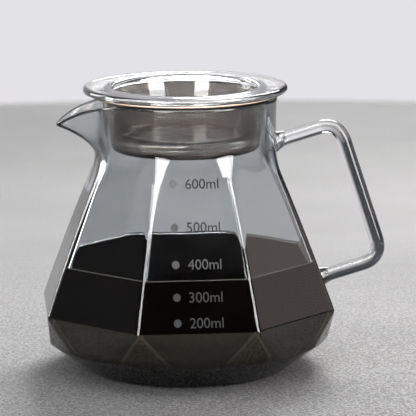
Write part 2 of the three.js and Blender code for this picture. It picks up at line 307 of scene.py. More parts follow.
def ease(low, high, value):
    """Runs softly from 0 at low to 1 at high."""
    share = np.clip((value - low) / (high - low), 0.0, 1.0)
    return share * share * (3 - 2 * share)


def smooth_max(a, b, blend):
    """Larger of two lengths, with the corner between them rounded over the blend."""
    overlap = np.maximum(blend - np.abs(a - b), 0.0) / blend
    return np.maximum(a, b) + overlap * overlap * blend / 4


def smooth_min(a, b, blend):
    return -smooth_max(-a, -b, blend)


def polar(radius, turn, height):
    radius, turn, height = np.broadcast_arrays(radius, turn, height)
    return np.stack([radius * np.cos(turn), radius * np.sin(turn), height], axis=-1)


def around(sides):
    """Angles of a full turn in equal steps."""
    return np.linspace(0, 2 * math.pi, sides, endpoint=False)


def on_axis(height):
    return np.array([[0.0, 0.0, height]])


def unit(vectors):
    return vectors / np.linalg.norm(vectors, axis=-1, keepdims=True)


def bend(start, corner, end, steps=ARC_STEPS):
    """Points of a quadratic curve that leaves its start towards the corner, the start left out."""
    share = np.linspace(0, 1, steps + 1)[1:, None]
    start, corner, end = (np.asarray(point, float) for point in (start, corner, end))
    return (1 - share) ** 2 * start + 2 * share * (1 - share) * corner + share**2 * end


def arc(centre, radius, first, last, steps=ARC_STEPS):
    """Points of a round in the plane of radius and height."""
    turn = np.linspace(first, last, steps + 1)
    return np.stack([centre[0] + radius * np.cos(turn), centre[1] + radius * np.sin(turn)], axis=-1)


class Vessel:
    """The vessel's walls as functions of angle and height, or of angle and level."""

    def __init__(self, sizes):
        self.sizes = sizes
        self.flat_share = math.cos(FACET_ANGLE / 2)
        self.side_foot = sizes.skirt_radius * math.cos(sizes.skirt_facet / 2)
        self.side_top = sizes.girth_radius * self.flat_share
        self.tip_foot = sizes.skirt_radius * math.cos((FACET_ANGLE - sizes.skirt_facet) / 2)
        self.lip_height = sizes.rim_height - sizes.rim_wall / 2

    def crease_radius(self, height):
        s = self.sizes
        rise = (height - s.girth_height) / (s.shoulder_height - s.girth_height)
        return mix(s.girth_radius, s.neck_radius, rise) + 4 * s.crease_bow * rise * (1 - rise)

    def flat_distance(self, height):
        """Distance from the axis to the middle of an upper facet."""
        return self.crease_radius(height) * self.flat_share

    def neck_radius(self, height):
        s = self.sizes
        flare = np.clip((height - s.waist_height) / (s.rim_height - s.waist_height), 0.0, 1.0)
        return mix(s.neck_radius, s.rim_radius, flare * flare)

    def facets(self, turn, height, inset, crease, soft):
        """Radius of the flat-sided part, its faces moved in by inset and its corner lines softened."""
        s = self.sizes
        offset = np.abs(turn - FACET_ANGLE * np.round(turn / FACET_ANGLE))
        corner = FACET_ANGLE / 2 - offset

        tilt = (s.girth_radius - s.neck_radius) * self.flat_share / (s.shoulder_height - s.girth_height)
        upper = self.flat_distance(height) - inset * math.hypot(1, tilt)
        walls = smooth_min(upper / np.cos(offset), upper / np.cos(FACET_ANGLE - offset), crease)

        drop = s.girth_height - s.skirt_height
        share = (height - s.skirt_height) / drop
        side_slope = (self.side_top - self.side_foot) / drop
        side = mix(self.side_foot, self.side_top, share) - inset * math.hypot(1, side_slope)
        tip_slope = (s.girth_radius - self.tip_foot) / drop
        tip = mix(self.tip_foot, s.girth_radius, share) - inset * math.hypot(1, tip_slope)
        lower = smooth_min(side / np.cos(offset), tip / np.cos(corner), soft)
        return smooth_min(walls, lower, soft)

    def outer_radius(self, turn, height):
        s = self.sizes
        cone = mix(s.foot_radius, s.skirt_radius, height / s.skirt_height)
        rise = np.clip((height - s.girth_height) / (s.shoulder_height - s.girth_height), 0.0, 1.0)
        crease = mix(s.crease_low, s.crease_high, rise**3)
        facets = smooth_min(self.facets(turn, height, 0.0, crease, s.edge_soft), cone, s.edge_soft)
        return smooth_max(self.neck_radius(height), facets, s.shoulder_blend)

    def inner_radius(self, turn, height, inset):
        """Radius of the inside, below the beak."""
        s = self.sizes
        share = (height - s.floor) / (s.skirt_height + s.wall / 2 - s.floor)
        cone = mix(s.foot_radius, s.skirt_radius, share) - inset
        facets = self.facets(turn, height, inset, s.crease_inner, s.inner_soft)
        return smooth_max(s.neck_radius - inset, smooth_min(facets, cone, s.inner_soft), s.shoulder_blend)

    def beak_offset(self, turn):
        """Angle from the middle of the beak, with the tip's point rounded off."""
        s = self.sizes
        aside = np.arctan2(np.sin(turn - BEAK_ANGLE), np.cos(turn - BEAK_ANGLE))
        return np.hypot(aside, s.beak_tip) - s.beak_tip

    def beak_reach(self, turn):
        s = self.sizes
        return smooth_max(0.0, s.beak_reach * (1 - self.beak_offset(turn) / s.beak_half), s.beak_blend)

    def lip_drop(self, turn):
        s = self.sizes
        offset = self.beak_offset(turn)
        fade = np.cos(math.pi / 2 * np.minimum(offset / s.lip_level, 1.0))
        return s.lip_drop * np.exp(-offset / s.lip_fall) * np.sqrt(np.maximum(fade, 0.0))

    def level_of(self, height):
        s = self.sizes
        return (height - s.girth_height) / (s.beak_root - s.girth_height)

    def wall_point(self, turn, level):
        """Level 0 is the girth, 1 the root of the beak and 2 the lip."""
        s = self.sizes
        rise = np.maximum(level - 1, 0.0)
        below = mix(s.girth_height, s.beak_root, np.minimum(level, 1.0))
        height = below + (self.lip_height - s.beak_root) * rise
        radius = self.outer_radius(turn, height) + self.beak_reach(turn) * rise * rise
        return polar(radius, turn, height - self.lip_drop(turn) * rise)

    def wall_normal(self, turn, level):
        across = self.wall_point(turn + SLOPE_STEP, level) - self.wall_point(turn - SLOPE_STEP, level)
        up = self.wall_point(turn, level + SLOPE_STEP) - self.wall_point(turn, level - SLOPE_STEP)
        return unit(np.cross(across, up))

    def inner_point(self, turn, level, extra=0.0):
        """Point of the inner face; extra moves it towards the outer face."""
        s = self.sizes
        thickness = mix(s.wall, s.rim_wall, max(level - 1, 0.0)) - extra
        offset = self.wall_point(turn, level) - self.wall_normal(turn, level) * thickness
        height = mix(s.girth_height, s.beak_root, level)
        above = ease(*(s.shoulder_height - walls * s.wall for walls in OFFSET_BAND), height)
        if above == 1:
            return offset
        bowl = polar(self.inner_radius(turn, height, thickness), turn, height)
        return mix(bowl, offset, above)

    def rim_point(self, turn, round_angle):
        """Half-round edge between the outer and the inner lip."""
        outer, inner = self.wall_point(turn, 2.0), self.inner_point(turn, 2.0)
        up = unit(outer - self.wall_point(turn, 2.0 - SLOPE_STEP))
        middle = (outer + inner) / 2
        half = outer - middle
        size = np.linalg.norm(half, axis=-1, keepdims=True)
        return middle + half * math.cos(round_angle) + up * size * math.sin(round_angle)

    def columns(self):
        """Angles of the mesh's columns, closer together at the corner lines and the beak."""
        turns = []
        for facet in range(FACETS):
            beak = facet == BEAK_FACET
            share = np.linspace(-1, 1, BEAK_COLUMNS if beak else FACET_COLUMNS, endpoint=False)
            if not beak:
                share = (share + np.sin(share * math.pi / 2)) / 2
            turns.append(FACET_ANGLE * (facet + share / 2))
        return np.concatenate(turns)

    def heights(self, low, steps):
        """Heights of the mesh's rows from low to the root of the beak, closer together at edges."""
        s = self.sizes
        edges = [s.skirt_height + offset for offset in SKIRT_BAND]
        edges += [s.girth_height + offset for offset in GIRTH_BAND]
        edges += [s.shoulder_height + SHOULDER_BAND, s.beak_root]
        rows = []
        for edge, count in zip(edges, steps):
            rows.append(np.linspace(low, edge, count, endpoint=False))
            low = edge
        return np.concatenate(rows + [[s.beak_root]])

    def inside_rings(self, turns, top_level, extra=0.0):
        """Rings of the inner face from a level down to the middle of the floor."""
        s = self.sizes
        corner_height = s.floor + CORNER_RISE
        heights = self.heights(corner_height, INNER_ROWS)
        levels = [self.level_of(height) for height in heights if self.level_of(height) < top_level]
        rings = [self.inner_point(turns, level, extra) for level in reversed(levels)]
        edge = rings[-1]
        radius = np.linalg.norm(edge[:, :2], axis=1).min()
        floor = s.floor - extra
        corner = (radius - (corner_height - floor) * CORNER_SLOPE, floor)
        profile = bend((radius, corner_height), corner, (corner[0] - CORNER_RUN, floor), CORNER_STEPS)
        return rings + [polar(r, turns, z) for r, z in profile] + [on_axis(floor)]


def skin_faces(rings, loop=False):
    """Faces of a closed skin through rings of equal counts, with single points at its ends."""
    counts = [len(ring) for ring in rings]
    starts = np.concatenate([[0], np.cumsum(counts)[:-1]])
    pairs = list(zip(range(len(rings)), range(1, len(rings))))
    if loop:
        pairs.append((len(rings) - 1, 0))
    faces = []
    for low, high in pairs:
        count = max(counts[low], counts[high])
        here = np.arange(count)
        after = (here + 1) % count
        near, far = starts[low], starts[high]
        if counts[low] == 1:
            corners = (near + 0 * here, far + after, far + here)
        elif counts[high] == 1:
            corners = (near + here, near + after, far + 0 * here)
        else:
            corners = (near + here, near + after, far + after, far + here)
        faces.extend(np.stack(corners, axis=-1).tolist())
    return faces


def signed_volume(points, faces):
    total = 0.0
    for face in faces:
        first = points[face[0]]
        for second, third in zip(face[1:], face[2:]):
            total += np.dot(first, np.cross(points[second], points[third]))
    return total


def add_piece(name, points, faces, body, materials):
    """Makes a smooth mesh object that moves with one of the bodies."""
    points = np.asarray(points, float)
    if len(faces) == 0 or not np.isfinite(points).all():
        raise RuntimeError(f"{name} has no sound shape")
    mesh = bpy.data.meshes.new(name)
    mesh.from_pydata(points.tolist(), [], faces)
    for material in materials:
        mesh.materials.append(material)
    mesh.shade_smooth()
    mesh.update()
    piece = bpy.data.objects.new(name, mesh)
    bpy.context.scene.collection.objects.link(piece)
    if body:
        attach(piece, body)
    return piece


def add_skin(name, rings, body, materials, loop=False):
    faces = skin_faces(rings, loop)
    points = np.concatenate(rings)
    if signed_volume(points, faces) < 0:
        faces = [face[::-1] for face in faces]
    return add_piece(name, points, faces, body, materials)


def mark_rings(piece, name, rings, shares):
    """Keeps a share for each ring of points, for the material to read."""
    mark = piece.data.attributes.new(name, "FLOAT", "POINT")
    mark.data.foreach_set("value", [share for ring, share in zip(rings, shares) for _ in ring])


def lathe(profile):
    """Rings of a profile of radius and height turned round the axis."""
    turns = around(LATHE_SIDES)
    return [polar(r, turns, z) if r > SAME_POINT else on_axis(z) for r, z in profile]


def path(*stretches):
    """One row of points from single points and runs of points."""
    return np.concatenate([np.atleast_2d(np.asarray(stretch, float)) for stretch in stretches])


# Materials

class Value:
    """A number from a socket, for sums written in Python."""

    def __init__(self, sheet, socket):
        self.sheet = sheet
        self.socket = socket

    def combine(self, operation, first, second):
        node = self.sheet.add("ShaderNodeMath", {"operation": operation}, {0: first, 1: second})
        return Value(self.sheet, node.outputs[0])

    def __add__(self, other):
        return self.combine("ADD", self, other)

    def __radd__(self, other):
        return self.combine("ADD", other, self)

    def __sub__(self, other):
        return self.combine("SUBTRACT", self, other)

    def __rsub__(self, other):
        return self.combine("SUBTRACT", other, self)

    def __mul__(self, other):
        return self.combine("MULTIPLY", self, other)

    def __rmul__(self, other):
        return self.combine("MULTIPLY", other, self)

    def at_least(self, other):
        return self.combine("MAXIMUM", self, other)

    def apply(self, operation, other=0.0):
        """Any other sum, such as a sine, a root or a rounding."""
        return self.combine(operation, self, other)


class Sheet:
    """The node tree of a material or the world, filled by plain calls."""

    def __init__(self, owner):
        self.owner = owner
        owner.use_nodes = True
        self.tree = owner.node_tree
        self.tree.nodes.clear()

    def add(self, kind, settings=None, values=None):
        """Adds a node, sets its settings, then gives its sockets numbers, colours or links."""
        node = self.tree.nodes.new(kind)
        for name, value in (settings or {}).items():
            setattr(node, name, value)
        for name, value in (values or {}).items():
            if isinstance(value, Value):
                value = value.socket
            if isinstance(value, bpy.types.NodeSocket):
                self.tree.links.new(value, node.inputs[name])
            else:
                node.inputs[name].default_value = value
        return node

    def noise(self, place, scale, detail=2.0):
        node = self.add("ShaderNodeTexNoise", None, {"Vector": place, "Scale": scale, "Detail": detail})
        return Value(self, node.outputs["Fac"])

    def spread(self, value, low, high):
        """Stretches part of a value's range to run from 0 to 1."""
        settings = {"interpolation_type": "SMOOTHSTEP"}
        node = self.add("ShaderNodeMapRange", settings, {"Value": value, "From Min": low, "From Max": high})
        return Value(self, node.outputs["Result"])

    def blend(self, share, first, second):
        """Colour between two colours."""
        settings = {"data_type": "RGBA"}
        node = self.add("ShaderNodeMix", settings, {"Factor": share, 6: first, 7: second})
        return node.outputs[2]

    def place(self):
        return self.add("ShaderNodeTexCoord").outputs["Object"]

    def axes(self, vector):
        """The three numbers of a vector."""
        node = self.add("ShaderNodeSeparateXYZ", None, {"Vector": vector})
        return [Value(self, node.outputs[axis]) for axis in "XYZ"]

    def mark(self, name):
        """Share that a mesh keeps for each of its points."""
        return Value(self, self.add("ShaderNodeAttribute", {"attribute_name": name}).outputs["Fac"])

    def bump(self, height, distance):
        node = self.add("ShaderNodeBump", None, {"Height": height, "Distance": distance})
        return node.outputs["Normal"]

    def cover(self, values, tint=None, density=0.0):
        """Ends a material in its surface and, where a tint is given, in an inside that soaks up light."""
        ends = {"Surface": self.add("ShaderNodeBsdfPrincipled", None, values).outputs[0]}
        if tint is not None:
            soak = self.add("ShaderNodeVolumeAbsorption", None, {"Color": rgba(tint), "Density": density})
            ends["Volume"] = soak.outputs[0]
        self.add("ShaderNodeOutputMaterial", None, ends)
        return self.owner


def new_sheet(name):
    return Sheet(bpy.data.materials.new(name))


def rgba(value):
    return (*value, 1.0)


def scaled(value, share):
    """A colour made darker or lighter."""
    return rgba([part * share for part in value])


def painted_rod_shade(sheet, edge_shade):
    """Painted shade, dark where the rod bends the vessel into view: out on the upright, below on the arms,
    and in painted streaks at the welds.
    """
    place = sheet.place()
    x, y, z = sheet.axes(sheet.add("ShaderNodeTexCoord").outputs["Normal"])
    lower = 1 - sheet.spread(sheet.axes(place)[2], *LOWER_ARM)
    arms = 1 - sheet.spread(z - 0.75 * lower, -0.75, -0.15)
    shaft = sheet.spread(x, -1.05, -0.42) * sheet.spread(y.apply("ABSOLUTE"), 0.05, 0.45)
    welds = sheet.spread(sheet.mark("weld"), 0.01, 0.12)
    # Painted shade: noisy dark streaks in the welds
    weld_painted_shade = sheet.spread(sheet.noise(place, 420.0), 0.43, 0.52) * welds
    shade = (arms + (shaft - arms) * sheet.mark("upright")).at_least(0.95 * weld_painted_shade)
    inside = Value(sheet, sheet.add("ShaderNodeNewGeometry").outputs["Backfacing"])
    return (0.5 * edge_shade).at_least(shade * (1 - inside))


def painted_rim_shade(sheet, edge_shade):
    """Painted shade: dark along the rim, where the wall ends."""
    return edge_shade.at_least(0.9 * sheet.mark("rim"))


def glass_material(name, edge, edge_range, tint, density, ripple_scale, ripple_height, mask=None):
    """Clear glass with ripples, wiping marks, a painted shade on its edges seen edge on, and a tint that
    deepens.
    """
    sheet = new_sheet(name)
    place = sheet.place()
    marks = sheet.spread(sheet.noise(place, 70.0, 5.0), 0.52, 0.75)
    ripples = sheet.noise(place, ripple_scale, 1.0)
    facing = sheet.add("ShaderNodeLayerWeight", None, {"Blend": 0.5}).outputs["Facing"]
    # Painted shade: towards glancing angles the glass takes on its edge colour
    edge_shade = sheet.spread(facing, *edge_range)
    if mask is not None:
        edge_shade = mask(sheet, edge_shade)
    clear = sheet.blend(marks, rgba(WHITE), scaled(WHITE, 0.97))
    return sheet.cover({
        "Base Color": sheet.blend(edge_shade, clear, rgba(edge)),
        "Roughness": 0.004 + 0.022 * marks,
        "IOR": 1.47,
        "Transmission Weight": 1.0,
        "Normal": sheet.bump(ripples, ripple_height),
    }, tint, density)


def sleeve_material(finish):
    """Smoky see-through silicone with a fine moulded grain."""
    sheet = new_sheet("smoky_silicone")
    place = sheet.place()
    cloud = sheet.noise(place, 120.0, 3.0)
    grain = sheet.noise(place, 2600.0)
    return sheet.cover({
        "Base Color": sheet.blend(cloud, scaled(finish.sleeve_face, 0.88), rgba(finish.sleeve_face)),
        "Roughness": 0.1 + 0.05 * cloud,
        "IOR": 1.25,
        "Transmission Weight": 1.0,
        "Normal": sheet.bump(grain, 0.01 * MM),
    }, finish.sleeve_tint, finish.sleeve_density)


def lip_material(finish, places, thickness):
    """The sleeve's lip, cloudy, with painted light: a pale sheen on its top and a warm tan edge where light
    gathers, and painted shade on the edge's underside.
    """
    sheet = new_sheet("silicone_lip_painted_light_and_shade")
    place = sheet.place()
    cloud = sheet.noise(place, 160.0, 3.0)
    x, y, height = sheet.axes(place)
    radius = (x * x + y * y).apply("SQRT")
    outside = sheet.spread(radius, places.lip_radius - 1.0 * MM, places.lip_radius - 0.5 * MM)
    upper = sheet.spread(height, places.lip_bottom + 0.15 * thickness, places.lip_bottom + 0.5 * thickness)
    warm = sheet.blend(cloud, scaled(finish.sleeve_lip, 0.8), rgba(finish.sleeve_lip))
    # Painted shade: the lower part of the lip's outer edge is a darkened copy of its tan
    edge = sheet.blend(upper, scaled(finish.sleeve_lip, 0.04), warm)
    # Painted sheen: the lip's top is pale grey
    pale = sheet.blend(cloud, scaled(finish.lip_top_painted_sheen, 0.84), rgba(finish.lip_top_painted_sheen))
    return sheet.cover({
        "Base Color": sheet.blend(outside, pale, edge),
        "Roughness": 0.3 + 0.15 * cloud,
        "IOR": 1.41,
        "Normal": sheet.bump(cloud, 0.02 * MM),
    })


def coffee_material(name, dark, light, gloss):
    """Black coffee with slow brown swirls."""
    sheet = new_sheet(name)
    swirl = sheet.noise(sheet.place(), 45.0, 4.0)
    return sheet.cover({
        "Base Color": sheet.blend(sheet.spread(swirl, 0.35, 0.8) * 0.25, dark, light),
        "Roughness": 0.12 + 0.1 * swirl,
        "IOR": 1.33,
        "Specular IOR Level": gloss,
    })


def low_coffee_material(finish, vessel):
    """Coffee behind the glass, black above, with painted light below the girth: brown as if lit from below,
    lit edges on the lower facets and painted floor speckle on the triangles and over the foot.
    """
    sizes = vessel.sizes
    sheet = new_sheet("coffee_against_glass")
    place = sheet.place()
    x, y, height = sheet.axes(place)
    swirl = sheet.noise(place, 45.0, 4.0)
    painted_floor_speckle = sheet.noise(place, 900.0, 3.0)

    turn = y.apply("ARCTAN2", x) * (1 / FACET_ANGLE)
    offset = (turn - turn.apply("ROUND")).apply("ABSOLUTE") * FACET_ANGLE
    radius = (x * x + y * y).apply("SQRT")
    share = (height - sizes.skirt_height) * (1 / (sizes.girth_height - sizes.skirt_height))
    corner = FACET_ANGLE / 2 - offset
    side = mix(vessel.side_foot, vessel.side_top, share) - radius * offset.apply("COSINE")
    tip = mix(vessel.tip_foot, sizes.girth_radius, share) - radius * corner.apply("COSINE")
    step = side - tip
    triangle = sheet.spread(step, -0.1 * MM, 0.1 * MM)
    edge = 1 - sheet.spread(step.apply("ABSOLUTE"), 0.12 * MM, 0.4 * MM)
    below = 1 - sheet.spread(height, sizes.girth_height - 0.8 * MM, sizes.girth_height - 0.6 * MM)
    foot = 1 - sheet.spread(height, sizes.skirt_height - 0.6 * MM, sizes.skirt_height + 0.6 * MM)

    # Painted light: the brown, its four times brighter edge colour and the speckle stand in for the lit
    # floor reflected in the lower glass
    brown = finish.coffee_low
    lit = scaled(brown, 4.0)
    black = sheet.blend(0.25 * swirl, rgba(finish.coffee_dark), rgba(finish.coffee_light))
    dim = sheet.blend(sheet.spread(painted_floor_speckle, 0.35, 0.7), scaled(brown, 0.55), scaled(brown, 3.4))
    facet = sheet.blend(triangle * sheet.spread(painted_floor_speckle, 0.3, 0.75) * 0.6, rgba(brown), lit)
    low = sheet.blend(foot, sheet.blend(edge * 0.9, facet, lit), dim)
    return sheet.cover({
        "Base Color": sheet.blend(below, black, low),
        "Roughness": 0.3 + 0.1 * swirl,
        "Specular IOR Level": 0.0,
    })


def enamel_material(finish):
    """Screen-printed enamel with an uneven coat, with painted shade by height: dim on the marks in front of
    the coffee and dark on the upper labels, whose dots are painted lighter towards the top.
    """
    sheet = new_sheet("scale_enamel")
    place = sheet.place()
    coat = sheet.noise(place, 1500.0, 3.0)
    across, _, height = sheet.axes(place)
    # Painted shade: the marks in front of the coffee are dimmer
    full = sheet.blend(sheet.spread(height, *DEEP_MARKS), scaled(finish.enamel, 0.52), rgba(finish.enamel))
    # Painted light on the upper dots, stronger towards the top
    dots_painted_light = sheet.blend(sheet.spread(height, *TOP_MARK), scaled(finish.enamel_upper_shade, 4.9),
                        scaled(finish.enamel_upper_shade, 8.2))
    # Painted shade: the upper labels keep the dark colour
    thin = sheet.blend(sheet.spread(across, *LABEL_EDGE), dots_painted_light, rgba(finish.enamel_upper_shade))
    printed = sheet.blend(sheet.spread(height, *UPPER_MARKS), full, thin)
    return sheet.cover({
        "Base Color": sheet.blend(0.2 - 0.2 * coat, printed, scaled(WHITE, 0.0)),
        "Roughness": 0.6 + 0.2 * coat,
        "Specular IOR Level": 0.05,
        "Normal": sheet.bump(coat, 0.02 * MM),
    })


def floor_material(studio):
    """Pale plaster with a fine grain, sharp near and soft far off, with painted shade that darkens it
    towards the back, fading out at the floor's edge.
    """
    sheet = new_sheet("pale_floor")
    place = sheet.place()
    grain = sheet.noise(place, 1000.0, 3.0)
    patches = sheet.noise(place, 9.0, 3.0)
    far = sheet.add("ShaderNodeVectorMath", {"operation": "LENGTH"}, {0: place}).outputs["Value"]
    edge = sheet.spread(far, studio.floor_reach - FLOOR_FADE, studio.floor_reach)
    depth = sheet.axes(place)[1]
    distant = sheet.spread(depth, 0.05, 0.62)
    sharp = 1 - sheet.spread(depth, -0.08, 0.3)
    # Painted shade: the floor darkens towards the back
    back_painted_shade = sheet.spread(depth, 0.36, 0.62)
    grit = sheet.spread(grain, 0.25, 0.75) - 0.5
    shade = 0.5 + 0.95 * sharp * grit + 0.35 * (patches - 0.5) - 0.3 * back_painted_shade
    near = sheet.blend(shade, scaled(studio.floor, 0.4), scaled(studio.floor, 1.6))
    # Painted shade: far off, the floor's colour is darker
    far_off_shaded = sheet.blend(shade, scaled(studio.floor, 0.5), scaled(studio.floor, 0.9))
    return sheet.cover({
        "Base Color": sheet.blend(distant, near, far_off_shaded),
        "Roughness": 0.75,
        "Specular IOR Level": 0.2,
        "Alpha": 1 - edge,
        "Normal": sheet.bump(grain, 0.25 * MM),
    })


# Pieces

class CARAFE_OT_body(Operator):
    """Adds the faceted glass vessel with its neck and beak"""

    bl_idname = "carafe.add_body"
    bl_label = "Vessel"

    def execute(self, context):
        s = context.scene.carafe_vessel
        vessel = Vessel(s)
        turns = vessel.columns()
        slope = Vector((s.skirt_radius - s.foot_radius, s.skirt_height)).normalized() * s.foot_edge
        cone_start = (s.foot_radius + slope.x, slope.y)
        foot_start = (s.foot_radius - s.foot_edge, 0.0)
        foot = path(foot_start, bend(foot_start, (s.foot_radius, 0.0), cone_start, FOOT_STEPS))
        rings = [on_axis(0.0)] + [polar(r, turns, z) for r, z in foot[:-1]]
        for height in vessel.heights(slope.y, OUTER_ROWS):
            rings.append(vessel.wall_point(turns, vessel.level_of(height)))
        rises = np.linspace(1, 2, BEAK_ROWS + 1)[1:]
        rings += [vessel.wall_point(turns, level) for level in rises]
        below_rim = len(rings)
        round_angles = np.linspace(0, math.pi, RIM_ROWS + 2)[1:-1]
        rings += [vessel.rim_point(turns, round_angle) for round_angle in round_angles]
        above_rim = len(rings)
        rings += [vessel.inner_point(turns, level) for level in rises[::-1]]
        rings += vessel.inside_rings(turns, ROOT_LEVEL)
        # The rim rings get a share of 1, which the glass turns into a painted dark shade along the rim
        shares = [1.0 if below_rim <= place < above_rim else 0.0 for place in range(len(rings))]
        finish = context.scene.carafe_finish
        glass = glass_material("smoke_grey_glass", finish.body_edge_shade, BODY_EDGES, finish.body_tint,
                               finish.body_density, ripple_scale=55.0, ripple_height=0.12 * MM,
                               mask=painted_rim_shade)
        piece = add_skin("vessel", rings, "carafe", [glass])
        mark_rings(piece, "rim", rings, shares)
        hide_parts("carafe_body")
        return {"FINISHED"}


class CARAFE_OT_handle(Operator):
    """Adds the bent glass rod that is welded to the vessel"""

    bl_idname = "carafe.add_handle"
    bl_label = "Handle"

    def seat(self, vessel, point, heading, sink):
        """Point on a line from outside, along the heading, that lies a little inside the wall."""
        near, far = 0.0, float(np.hypot(*point[:2]) / np.hypot(*heading[:2]))
        while far - near > SAME_POINT:
            middle = (near + far) / 2
            x, y, z = point + heading * middle
            outside = math.hypot(x, y) - vessel.outer_radius(math.atan2(y, x), z) + sink
            near, far = (middle, far) if outside > 0 else (near, middle)
        return point + heading * near

    def execute(self, context):
        s = context.scene.carafe_vessel
        h = context.scene.carafe_handle
        vessel = Vessel(s)
        inward = np.array([-math.cos(h.arm_rise), 0.0, -math.sin(h.arm_rise)])
        upper_height = s.rim_height - h.upper_drop + h.upper_reach * math.tan(h.arm_rise)
        upper = np.array([s.neck_radius + h.upper_reach, 0.0, upper_height])
        lower = np.array([s.girth_radius + h.lower_reach, 0.0, s.girth_height + h.lower_rise])
        upper_weld = self.seat(vessel, upper, inward, h.weld_sink)
        lower_weld = self.seat(vessel, lower, inward, h.weld_sink)

        def towards(start, end):
            return start + unit(end - start) * h.bend

        corners = [(towards(upper, upper_weld), upper, towards(upper, lower)),
                   (towards(lower, upper), lower, towards(lower, lower_weld))]
        crowded = np.linspace(0, 1, ARM_STEPS + 1)[:, None] ** ARM_CROWDING
        line = np.linspace(0, 1, SHAFT_STEPS + 1)[1:, None]
        centres = path(mix(upper_weld, corners[0][0], crowded), bend(*corners[0], BEND_STEPS),
                       mix(corners[0][2], corners[1][0], line), bend(*corners[1], BEND_STEPS),
                       mix(lower_weld, corners[1][2], crowded)[::-1][1:])
        along = unit(np.gradient(centres, axis=0))
        side = np.array([0.0, 1.0, 0.0])
        turns = around(ROD_SIDES)[:, None]
        rings, swells = [], []
        for centre, tangent in zip(centres, along):
            apart = min(np.linalg.norm(centre - upper_weld), np.linalg.norm(centre - lower_weld))
            swell = max(1 - apart / h.weld_length, 0.0) ** 2
            swells.append(swell)
            radius = mix(h.rod_radius, h.weld_radius, swell)
            normal = np.cross(side, tangent)
            rings.append(centre + radius * (normal * np.cos(turns) + side * np.sin(turns)))
        for place in (0, -1):
            away = rings[place] - inward * h.weld_length
            rings[place] = np.array([self.seat(vessel, point, inward, h.weld_sink) for point in away])
        rings = [upper_weld[None]] + rings + [lower_weld[None]]
        corner = np.sqrt(np.linspace(0, 1, BEND_STEPS))
        arms = np.zeros(ARM_STEPS + 1)
        uprights = np.concatenate([[0.0], arms, corner, np.ones(SHAFT_STEPS), corner[::-1], arms])

        finish = context.scene.carafe_finish
        glass = glass_material("clear_rod_glass", finish.rod_edge_shade, ROD_EDGES, finish.clear_tint,
                               finish.clear_density, ripple_scale=160.0, ripple_height=0.06 * MM,
                               mask=painted_rod_shade)
        piece = add_skin("handle_rod", rings, "carafe", [glass])
        # The upright and weld shares steer the rod's painted shade
        mark_rings(piece, "upright", rings, uprights)
        mark_rings(piece, "weld", rings, [1.0, *swells, 1.0])
        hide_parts("handle")
        return {"FINISHED"}


class LidPlaces:
    """Sizes that the lid's two pieces share."""

    def __init__(self, context):
        s, lid = context.scene.carafe_vessel, context.scene.carafe_lid
        self.sleeve_radius = min(s.neck_radius - s.wall, s.rim_radius - s.rim_wall) - lid.clearance
        self.plug_radius = self.sleeve_radius - lid.sleeve_wall - lid.gap
        self.sleeve_bottom = s.rim_height - lid.plug_depth
        self.lip_bottom = s.rim_height + lid.gap
        self.sleeve_top = self.lip_bottom + lid.sleeve_lip
        self.flange_bottom = self.sleeve_top + lid.gap
        self.flange_top = self.flange_bottom + lid.flange
        self.flange_radius = s.rim_radius + lid.overhang
        self.lip_radius = s.rim_radius + lid.lip_overhang


class CARAFE_OT_lid(Operator):
    """Adds the glass lid, a flange with a hollow plug"""

    bl_idname = "carafe.add_lid"
    bl_label = "Lid"

    def execute(self, context):
        lid = context.scene.carafe_lid
        p = LidPlaces(context)
        bottom = p.sleeve_bottom + lid.sleeve_wall + lid.gap
        floor = bottom + lid.plug_floor
        foot = p.plug_radius - lid.draft
        recess = p.plug_radius - lid.plug_wall
        recess_foot = recess - lid.draft
        edge = lid.flange / 2
        corner = (foot - lid.plug_corner, bottom)
        plug_foot = np.array((foot, bottom + lid.plug_corner))
        fillet_start = (p.plug_radius, p.flange_bottom - FILLET)
        flange_root = np.array((p.plug_radius, p.flange_bottom))
        fillet_end = (p.plug_radius + FILLET, p.flange_bottom)
        rim = (p.flange_radius - edge, p.flange_bottom + edge)
        lip = (recess + lid.recess_lip, p.flange_top)
        recess_top = np.array((recess, p.flange_top - lid.recess_lip))
        well = np.array((recess_foot, floor + lid.recess_corner))
        well_end = (recess_foot - lid.recess_corner, floor)
        profile = path(
            (0.0, bottom), (corner[0] / 2, bottom), corner,
            bend(corner, (foot, bottom), plug_foot),
            mix(plug_foot, flange_root, np.linspace(0.1, 0.9, PLUG_ROWS)[:, None]),
            fillet_start, bend(fillet_start, flange_root, fillet_end, FILLET_STEPS),
            (rim[0] - edge, p.flange_bottom),
            arc(rim, edge, -math.pi / 2, math.pi / 2, EDGE_STEPS),
            (rim[0] - edge, p.flange_top), lip,
            bend(lip, (recess, p.flange_top), recess_top),
            mix(recess_top, well, np.linspace(0.1, 1, PLUG_ROWS)[:, None]),
            bend(well, (recess_foot, floor), well_end),
            (well_end[0] / 2, floor), (0.0, floor),
        )
        finish = context.scene.carafe_finish
        glass = glass_material("clear_lid_glass", finish.lid_edge_shade, LID_EDGES, finish.clear_tint,
                               finish.clear_density, ripple_scale=90.0, ripple_height=0.08 * MM)
        piece = add_skin("lid_flange_and_plug", lathe(profile), "lid", [glass])
        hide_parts("lid_glass")
        return {"FINISHED"}


